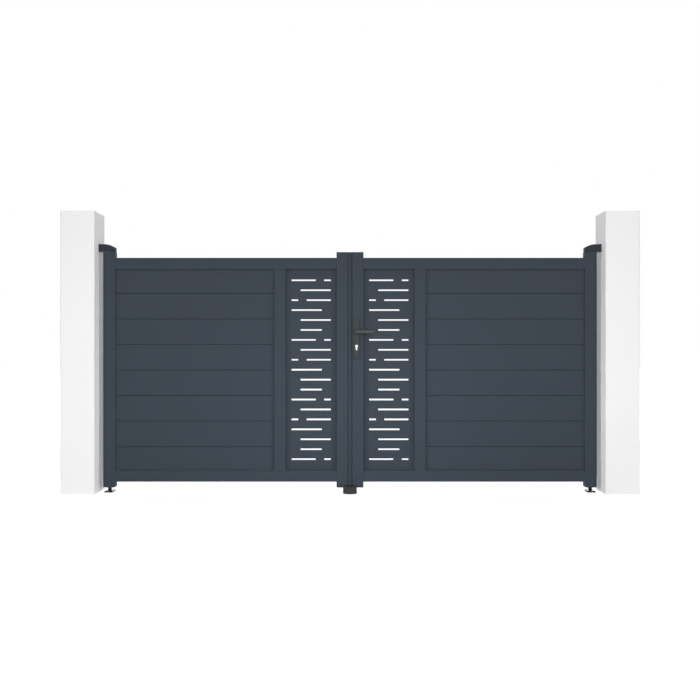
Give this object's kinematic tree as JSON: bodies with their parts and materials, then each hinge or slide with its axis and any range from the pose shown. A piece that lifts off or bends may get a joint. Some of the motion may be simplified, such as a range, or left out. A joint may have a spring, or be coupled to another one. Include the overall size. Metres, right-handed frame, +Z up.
{
  "type": "double-leaf driveway swing gate",
  "caption": "Double-leaf driveway swing gate in dark aluminium: boarded leaves with slotted sheets by the meeting stiles, lever lock, pivot hinges and plain rendered piers.",
  "frame": {"origin": "middle of the left pier's foot, on the ground", "axes": "+X from the left pier to the right pier, +Y into the property, the way the leaves open, +Z up"},
  "size_m": [3.4, 0.25, 1.665],
  "materials": {
    "render": "fine smooth white masonry render",
    "frame": "fine-textured anthracite powder coat",
    "boards": "fine-textured anthracite powder coat",
    "sheet": "fine-textured anthracite powder coat",
    "hood": "moulded, satin anthracite",
    "caps": "moulded, satin anthracite",
    "hinge_steel": "zinc-plated steel",
    "pivot_steel": "black-coated steel",
    "stop": "dark grey moulded rubber",
    "lock_steel": "plain steel",
    "handle": "dark bronze-grey satin coat"
  },
  "bodies": {
    "root": {"left_pier": "render", "left_hinge_bracket": "hinge_steel", "left_hinge_hood": "hood", "left_hinge_pin": "hinge_steel", "left_floor_pivot": "pivot_steel", "right_pier": "render", "right_hinge_bracket": "hinge_steel", "right_hinge_hood": "hood", "right_hinge_pin": "hinge_steel", "right_floor_pivot": "pivot_steel", "ground_stop": "stop"},
    "left_leaf": {"left_hinge_stile": "frame", "left_meeting_stile": "frame", "left_mullion": "frame", "left_bottom_rail": "frame", "left_top_rail": "frame", "left_boards": "boards", "left_slotted_panel": "sheet", "left_hinge_stile_caps": "caps", "left_meeting_stile_caps": "caps", "cover_strip": "frame"},
    "right_leaf": {"right_hinge_stile": "frame", "right_meeting_stile": "frame", "right_mullion": "frame", "right_bottom_rail": "frame", "right_top_rail": "frame", "right_boards": "boards", "right_slotted_panel": "sheet", "right_hinge_stile_caps": "caps", "right_meeting_stile_caps": "caps", "lock_case": "lock_steel", "front_lock_plate": "handle", "back_lock_plate": "handle"},
    "lever": {"front_lever": "handle", "back_lever": "handle", "lever_spindle": "lock_steel"}
  },
  "joints": [
    {"name": "left_leaf_swing", "type": "hinge", "parent": "root", "child": "left_leaf", "pos_m": [0.1625, 0, 0], "axis": [0, 0, 1], "range_deg": [0, 90]},
    {"name": "right_leaf_swing", "type": "hinge", "parent": "root", "child": "right_leaf", "pos_m": [3.0375, 0, 0], "axis": [0, 0, -1], "range_deg": [0, 90]},
    {"name": "lever_turn", "type": "hinge", "parent": "right_leaf", "child": "lever", "pos_m": [1.639, 0, 0.956], "axis": [0, 1, 0], "range_deg": [0, 45], "stiffness_Nm_per_rad": 1.2, "springref_deg": -20.05}
  ]
}
